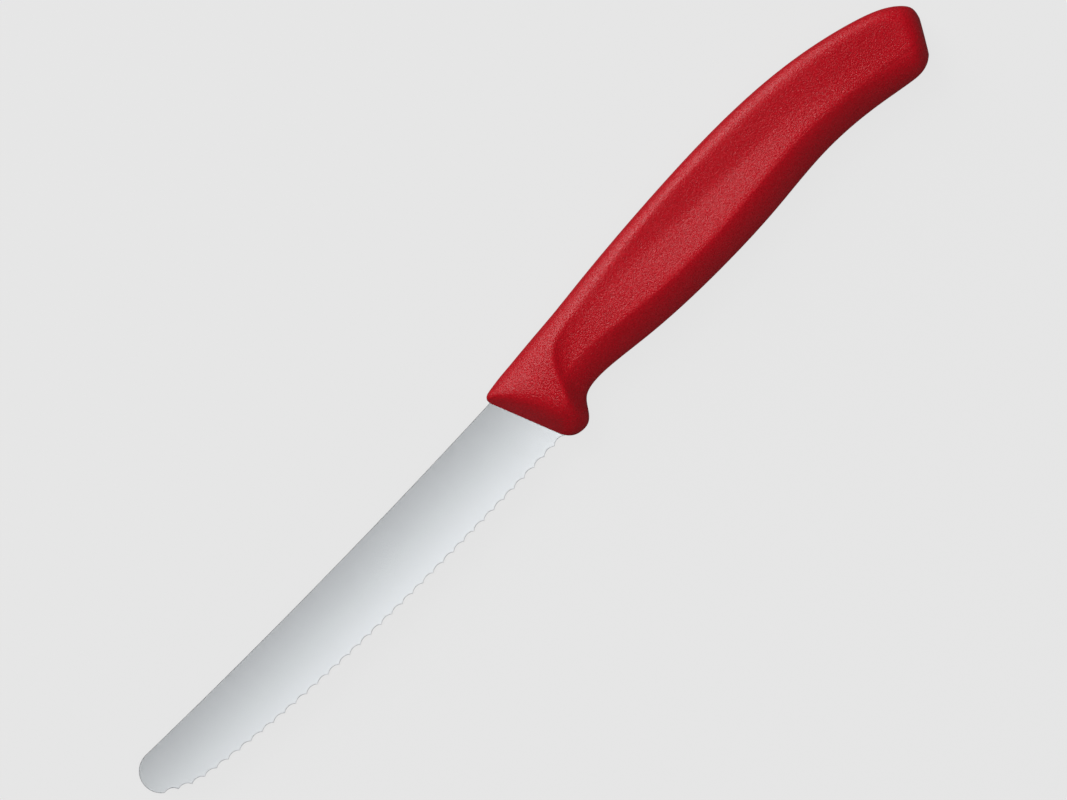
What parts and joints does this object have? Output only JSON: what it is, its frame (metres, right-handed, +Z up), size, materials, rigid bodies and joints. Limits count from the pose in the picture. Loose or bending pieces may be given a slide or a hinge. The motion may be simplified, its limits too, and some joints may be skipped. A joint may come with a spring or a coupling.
{
  "type": "tomato knife",
  "caption": "Small kitchen knife with a thin round-tipped steel blade, a scalloped edge for soft fruit, and a contoured moulded plastic handle with a finger guard.",
  "frame": {"origin": "centre of the knife's box on the surface it lies on, with the knife on its right side", "axes": "+X from the tip towards the butt, +Y from the edge towards the spine, +Z up out of the blade's left face"},
  "size_m": [0.2224, 0.024, 0.014],
  "materials": {
    "blade_steel": "satin",
    "handle_plastic": "matte"
  },
  "bodies": {
    "root": {"blade": "blade_steel", "handle": "handle_plastic"}
  },
  "joints": []
}
